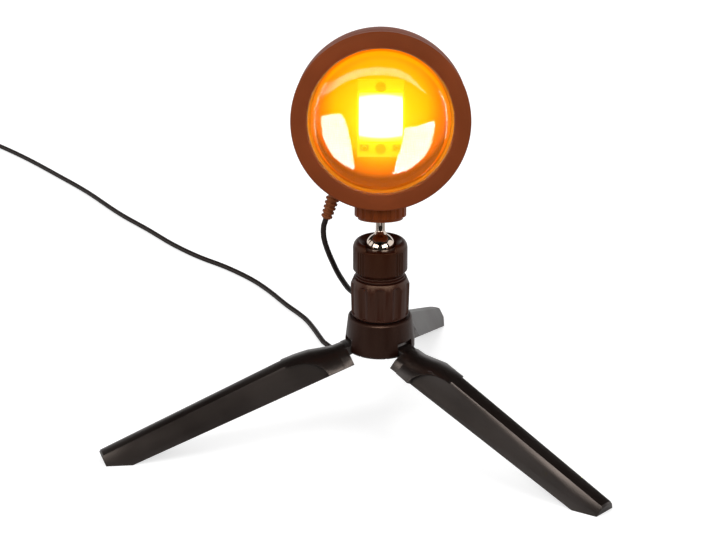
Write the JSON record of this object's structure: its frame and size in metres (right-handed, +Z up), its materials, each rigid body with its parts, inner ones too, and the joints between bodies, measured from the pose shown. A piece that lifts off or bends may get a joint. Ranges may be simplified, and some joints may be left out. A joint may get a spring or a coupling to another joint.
{
  "type": "sunset projection lamp",
  "caption": "Drum-shaped sunset projection lamp with a domed lens on a ball stud and a pocket tripod with folding legs, with its cord, inline switch and plug.",
  "frame": {"origin": "on the floor, below the middle of the box of the lamp and its open tripod, without the cord", "axes": "+Z up, -Y the way the lens faces, +X to the right of the lamp as seen from its front"},
  "size_m": [0.4472, 0.5802, 0.2196],
  "materials": {
    "head_black": "satin, fine texture",
    "grip_black": "satin",
    "tripod_black": "satin",
    "lens_glass": "polished, faintly iridescent coat",
    "filter_glass": "polished, coloured film",
    "reflector_white": "smooth",
    "board_white": "white solder mask",
    "led_phosphor": "lit",
    "board_green": "solder mask",
    "steel": "nickel plated",
    "chrome": "polished",
    "aluminium": "as cast",
    "brass": "turned",
    "nylon": "natural",
    "rubber_black": "matt",
    "cord_black": "satin jacket",
    "switch_black": "fine texture",
    "button_grey": "satin"
  },
  "bodies": {
    "tripod": {"hub": "tripod_black", "hub_screw": "steel", "hub_washer": "steel", "friction_pad": "rubber_black", "hub_cover": "tripod_black", "hinge_pins": "steel", "cord_hanging": "cord_black", "cord_floor": "cord_black", "cord_coil": "cord_black", "coil_tie": "rubber_black", "switch_case": "switch_black", "switch_lid": "switch_black", "usb_plug": "switch_black", "usb_shell": "steel", "usb_tongue": "nylon"},
    "left_leg": {"left_leg": "tripod_black"},
    "right_leg": {"right_leg": "tripod_black"},
    "rear_leg": {"rear_leg": "tripod_black"},
    "ball_base": {"base_grip": "grip_black", "ball_seat": "nylon", "seat_spring": "steel"},
    "collar": {"ball_collar": "grip_black"},
    "stud": {"ball_stud": "chrome"},
    "lock_ring": {"lock_ring": "grip_black"},
    "lamp_head": {"front_ring": "head_black", "lens": "lens_glass", "lens_gasket": "rubber_black", "sunset_filter": "filter_glass", "filter_ring": "rubber_black", "lamp_chamber": "reflector_white", "led_board": "board_white", "led": "led_phosphor", "led_screws": "steel", "led_terminals": "steel", "heat_sink": "aluminium", "heat_sink_screws": "steel", "driver_board": "board_green", "drum": "head_black", "rear_cover": "head_black", "rear_cover_screws": "steel", "thread_insert": "brass", "strain_relief": "rubber_black"},
    "switch_button": {"switch_button": "button_grey"}
  },
  "joints": [
    {"name": "left_leg_fold", "type": "hinge", "parent": "tripod", "child": "left_leg", "pos_m": [0.00277, -0.02651, 0.0501], "axis": [0.309, -0.9511, 0], "range_deg": [0, 71]},
    {"name": "right_leg_fold", "type": "hinge", "parent": "tripod", "child": "right_leg", "pos_m": [0.02479, -0.03119, 0.0501], "axis": [0.6691, 0.7431, 0], "range_deg": [0, 71]},
    {"name": "rear_leg_fold", "type": "hinge", "parent": "tripod", "child": "rear_leg", "pos_m": [0.01784, -0.00978, 0.0501], "axis": [-0.9781, 0.2079, 0], "range_deg": [0, 71]},
    {"name": "base_turn", "type": "hinge", "parent": "tripod", "child": "ball_base", "pos_m": [0.01513, -0.02249, 0.0652], "axis": [0, 0, 1], "range_deg": [-90, 90], "deforming": ["cord_hanging"]},
    {"name": "collar_turn", "type": "hinge", "parent": "ball_base", "child": "collar", "pos_m": [0.01513, -0.02249, 0.0895], "axis": [0, 0, 1], "range_deg": [0, 90]},
    {"name": "ball_tilt", "type": "hinge", "parent": "ball_base", "child": "stud", "pos_m": [0.01513, -0.02249, 0.102], "axis": [1, 0, 0], "range_deg": [-25, 45], "deforming": ["cord_hanging"]},
    {"name": "head_turn", "type": "hinge", "parent": "stud", "child": "lamp_head", "pos_m": [0.01513, -0.02249, 0.102], "axis": [0, 0.165, 0.9863], "range_deg": [-60, 60], "deforming": ["cord_hanging"]},
    {"name": "lock_ring_turn", "type": "hinge", "parent": "stud", "child": "lock_ring", "pos_m": [0.01513, -0.02249, 0.102], "axis": [0, 0.165, 0.9863], "range_deg": [0, 90]},
    {"name": "button_press", "type": "slide", "parent": "tripod", "child": "switch_button", "axis": [0, 0, -1], "range_m": [0, 0.0012], "stiffness_N_per_m": 300}
  ]
}
